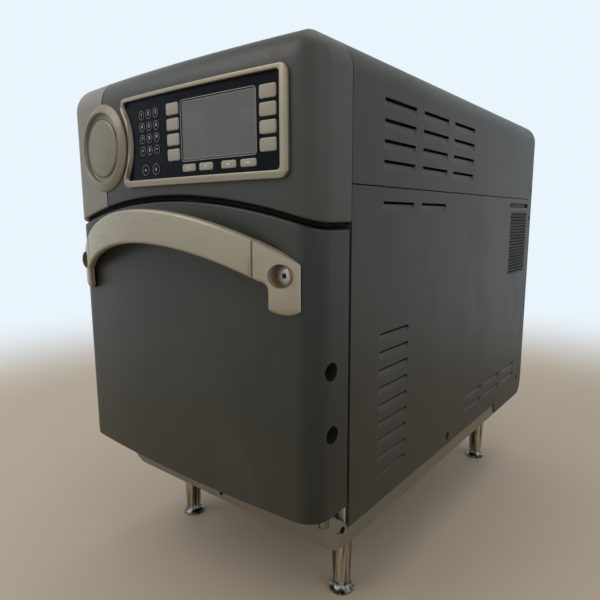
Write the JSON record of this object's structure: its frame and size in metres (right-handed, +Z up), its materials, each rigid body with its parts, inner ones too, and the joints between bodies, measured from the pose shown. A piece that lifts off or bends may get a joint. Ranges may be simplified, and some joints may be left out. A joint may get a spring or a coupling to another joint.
{
  "type": "speed oven",
  "caption": "Countertop speed oven with a bowed front, arched drop-down door with bar handle, keypad console, louvred sides and tall adjustable legs.",
  "frame": {"origin": "middle of the object's box, on the floor under its feet", "axes": "+Z up, -Y towards the person at the door, +X to that person's right"},
  "size_m": [0.406, 0.742, 0.6454],
  "materials": {
    "painted_panel": "warm grey baked enamel, satin",
    "champagne_metal": "champagne metallic, satin",
    "stainless": "brushed stainless steel",
    "cavity_steel": "stainless steel, heat-toned",
    "polished_steel": "polished steel",
    "keypad_film": "dark blue-black film, satin",
    "key_plastic": "champagne plastic, satin",
    "display_glass": "unlit grey display window",
    "seal_rubber": "matt black silicone",
    "galvanised": "galvanised sheet",
    "copper_coil": "varnished winding and core",
    "board_green": "green circuit board",
    "black_plastic": "moulded black plastic"
  },
  "bodies": {
    "oven": {"base_pan": "stainless", "side_panel_left": "painted_panel", "side_panel_right": "painted_panel", "top_cover": "painted_panel", "rear_panel": "painted_panel", "console_housing": "painted_panel", "console_side_cap": "champagne_metal", "round_badge": "champagne_metal", "bezel_frame": "champagne_metal", "keypad_panel": "keypad_film", "display_window": "display_glass", "control_board": "board_green", "cavity_liner": "cavity_steel", "cooking_rack": "polished_steel", "jet_plate": "cavity_steel", "blower_motor": "galvanised", "magnetron": "galvanised", "transformer": "copper_coil", "leg_front_left": "polished_steel", "leg_front_right": "polished_steel", "leg_rear_left": "polished_steel", "leg_rear_right": "polished_steel"},
    "door": {"door_shell": "painted_panel", "door_inner_frame": "stainless", "door_gasket": "seal_rubber", "handle_bar": "champagne_metal", "handle_end_left": "champagne_metal", "handle_end_right": "champagne_metal"},
    "blower": {"blower_wheel": "galvanised"},
    "fan": {"cooling_fan": "black_plastic"},
    "foot_front_left_body": {"foot_front_left": "polished_steel"},
    "foot_front_right_body": {"foot_front_right": "polished_steel"},
    "foot_rear_left_body": {"foot_rear_left": "polished_steel"},
    "foot_rear_right_body": {"foot_rear_right": "polished_steel"},
    "soft_key_left_1_body": {"soft_key_left_1": "key_plastic"},
    "soft_key_left_2_body": {"soft_key_left_2": "key_plastic"},
    "soft_key_left_3_body": {"soft_key_left_3": "key_plastic"},
    "soft_key_left_4_body": {"soft_key_left_4": "key_plastic"},
    "soft_key_right_1_body": {"soft_key_right_1": "key_plastic"},
    "soft_key_right_2_body": {"soft_key_right_2": "key_plastic"},
    "soft_key_right_3_body": {"soft_key_right_3": "key_plastic"},
    "soft_key_right_4_body": {"soft_key_right_4": "key_plastic"},
    "key_up_body": {"key_up": "key_plastic"},
    "key_down_body": {"key_down": "key_plastic"},
    "key_back_body": {"key_back": "key_plastic"},
    "key_enter_body": {"key_enter": "key_plastic"},
    "key_1_body": {"key_1": "key_plastic"},
    "key_2_body": {"key_2": "key_plastic"},
    "key_3_body": {"key_3": "key_plastic"},
    "key_4_body": {"key_4": "key_plastic"},
    "key_5_body": {"key_5": "key_plastic"},
    "key_6_body": {"key_6": "key_plastic"},
    "key_7_body": {"key_7": "key_plastic"},
    "key_8_body": {"key_8": "key_plastic"},
    "key_9_body": {"key_9": "key_plastic"},
    "key_clear_body": {"key_clear": "key_plastic"},
    "key_0_body": {"key_0": "key_plastic"},
    "key_set_body": {"key_set": "key_plastic"},
    "key_menu_body": {"key_menu": "key_plastic"},
    "key_power_body": {"key_power": "key_plastic"}
  },
  "joints": [
    {"name": "door_hinge", "type": "hinge", "parent": "oven", "child": "door", "pos_m": [0, -0.288, 0.158], "axis": [1, 0, 0], "range_deg": [0, 90], "stiffness_Nm_per_rad": 6, "springref_deg": -20.05},
    {"name": "blower_spin", "type": "hinge", "parent": "oven", "child": "blower", "pos_m": [0, 0.026, 0.3315], "axis": [0, 1, 0], "continuous": true},
    {"name": "fan_spin", "type": "hinge", "parent": "oven", "child": "fan", "pos_m": [0, 0.346, 0.4], "axis": [0, 1, 0], "continuous": true},
    {"name": "foot_front_left_thread", "type": "slide", "parent": "oven", "child": "foot_front_left_body", "axis": [0, 0, -1], "range_m": [0, 0.02]},
    {"name": "foot_front_right_thread", "type": "slide", "parent": "oven", "child": "foot_front_right_body", "axis": [0, 0, -1], "range_m": [0, 0.02]},
    {"name": "foot_rear_left_thread", "type": "slide", "parent": "oven", "child": "foot_rear_left_body", "axis": [0, 0, -1], "range_m": [0, 0.02]},
    {"name": "foot_rear_right_thread", "type": "slide", "parent": "oven", "child": "foot_rear_right_body", "axis": [0, 0, -1], "range_m": [0, 0.02]},
    {"name": "soft_key_left_1_press", "type": "slide", "parent": "oven", "child": "soft_key_left_1_body", "axis": [-0.0092, 1, 0], "range_m": [0, 0.0008], "stiffness_N_per_m": 400, "springref_m": -0.0005},
    {"name": "soft_key_left_2_press", "type": "slide", "parent": "oven", "child": "soft_key_left_2_body", "axis": [-0.0092, 1, 0], "range_m": [0, 0.0008], "stiffness_N_per_m": 400, "springref_m": -0.0005},
    {"name": "soft_key_left_3_press", "type": "slide", "parent": "oven", "child": "soft_key_left_3_body", "axis": [-0.0092, 1, 0], "range_m": [0, 0.0008], "stiffness_N_per_m": 400, "springref_m": -0.0005},
    {"name": "soft_key_left_4_press", "type": "slide", "parent": "oven", "child": "soft_key_left_4_body", "axis": [-0.0092, 1, 0], "range_m": [0, 0.0008], "stiffness_N_per_m": 400, "springref_m": -0.0005},
    {"name": "soft_key_right_1_press", "type": "slide", "parent": "oven", "child": "soft_key_right_1_body", "axis": [-0.0712, 0.9975, 0], "range_m": [0, 0.0008], "stiffness_N_per_m": 400, "springref_m": -0.0005},
    {"name": "soft_key_right_2_press", "type": "slide", "parent": "oven", "child": "soft_key_right_2_body", "axis": [-0.0712, 0.9975, 0], "range_m": [0, 0.0008], "stiffness_N_per_m": 400, "springref_m": -0.0005},
    {"name": "soft_key_right_3_press", "type": "slide", "parent": "oven", "child": "soft_key_right_3_body", "axis": [-0.0712, 0.9975, 0], "range_m": [0, 0.0008], "stiffness_N_per_m": 400, "springref_m": -0.0005},
    {"name": "soft_key_right_4_press", "type": "slide", "parent": "oven", "child": "soft_key_right_4_body", "axis": [-0.0712, 0.9975, 0], "range_m": [0, 0.0008], "stiffness_N_per_m": 400, "springref_m": -0.0005},
    {"name": "key_up_press", "type": "slide", "parent": "oven", "child": "key_up_body", "axis": [-0.0205, 0.9998, 0], "range_m": [0, 0.0008], "stiffness_N_per_m": 400, "springref_m": -0.0005},
    {"name": "key_down_press", "type": "slide", "parent": "oven", "child": "key_down_body", "axis": [-0.0326, 0.9995, 0], "range_m": [0, 0.0008], "stiffness_N_per_m": 400, "springref_m": -0.0005},
    {"name": "key_back_press", "type": "slide", "parent": "oven", "child": "key_back_body", "axis": [-0.0476, 0.9989, 0], "range_m": [0, 0.0008], "stiffness_N_per_m": 400, "springref_m": -0.0005},
    {"name": "key_enter_press", "type": "slide", "parent": "oven", "child": "key_enter_body", "axis": [-0.0597, 0.9982, 0], "range_m": [0, 0.0008], "stiffness_N_per_m": 400, "springref_m": -0.0005},
    {"name": "key_1_press", "type": "slide", "parent": "oven", "child": "key_1_body", "axis": [0.0163, 0.9999, 0], "range_m": [0, 0.0008], "stiffness_N_per_m": 400, "springref_m": -0.0005},
    {"name": "key_2_press", "type": "slide", "parent": "oven", "child": "key_2_body", "axis": [0.0102, 0.9999, 0], "range_m": [0, 0.0008], "stiffness_N_per_m": 400, "springref_m": -0.0005},
    {"name": "key_3_press", "type": "slide", "parent": "oven", "child": "key_3_body", "axis": [0.004, 1, 0], "range_m": [0, 0.0008], "stiffness_N_per_m": 400, "springref_m": -0.0005},
    {"name": "key_4_press", "type": "slide", "parent": "oven", "child": "key_4_body", "axis": [0.0163, 0.9999, 0], "range_m": [0, 0.0008], "stiffness_N_per_m": 400, "springref_m": -0.0005},
    {"name": "key_5_press", "type": "slide", "parent": "oven", "child": "key_5_body", "axis": [0.0102, 0.9999, 0], "range_m": [0, 0.0008], "stiffness_N_per_m": 400, "springref_m": -0.0005},
    {"name": "key_6_press", "type": "slide", "parent": "oven", "child": "key_6_body", "axis": [0.004, 1, 0], "range_m": [0, 0.0008], "stiffness_N_per_m": 400, "springref_m": -0.0005},
    {"name": "key_7_press", "type": "slide", "parent": "oven", "child": "key_7_body", "axis": [0.0163, 0.9999, 0], "range_m": [0, 0.0008], "stiffness_N_per_m": 400, "springref_m": -0.0005},
    {"name": "key_8_press", "type": "slide", "parent": "oven", "child": "key_8_body", "axis": [0.0102, 0.9999, 0], "range_m": [0, 0.0008], "stiffness_N_per_m": 400, "springref_m": -0.0005},
    {"name": "key_9_press", "type": "slide", "parent": "oven", "child": "key_9_body", "axis": [0.004, 1, 0], "range_m": [0, 0.0008], "stiffness_N_per_m": 400, "springref_m": -0.0005},
    {"name": "key_clear_press", "type": "slide", "parent": "oven", "child": "key_clear_body", "axis": [0.0163, 0.9999, 0], "range_m": [0, 0.0008], "stiffness_N_per_m": 400, "springref_m": -0.0005},
    {"name": "key_0_press", "type": "slide", "parent": "oven", "child": "key_0_body", "axis": [0.0102, 0.9999, 0], "range_m": [0, 0.0008], "stiffness_N_per_m": 400, "springref_m": -0.0005},
    {"name": "key_set_press", "type": "slide", "parent": "oven", "child": "key_set_body", "axis": [0.004, 1, 0], "range_m": [0, 0.0008], "stiffness_N_per_m": 400, "springref_m": -0.0005},
    {"name": "key_menu_press", "type": "slide", "parent": "oven", "child": "key_menu_body", "axis": [0.0146, 0.9999, 0], "range_m": [0, 0.0008], "stiffness_N_per_m": 400, "springref_m": -0.0005},
    {"name": "key_power_press", "type": "slide", "parent": "oven", "child": "key_power_body", "axis": [0.0056, 1, 0], "range_m": [0, 0.0008], "stiffness_N_per_m": 400, "springref_m": -0.0005}
  ]
}
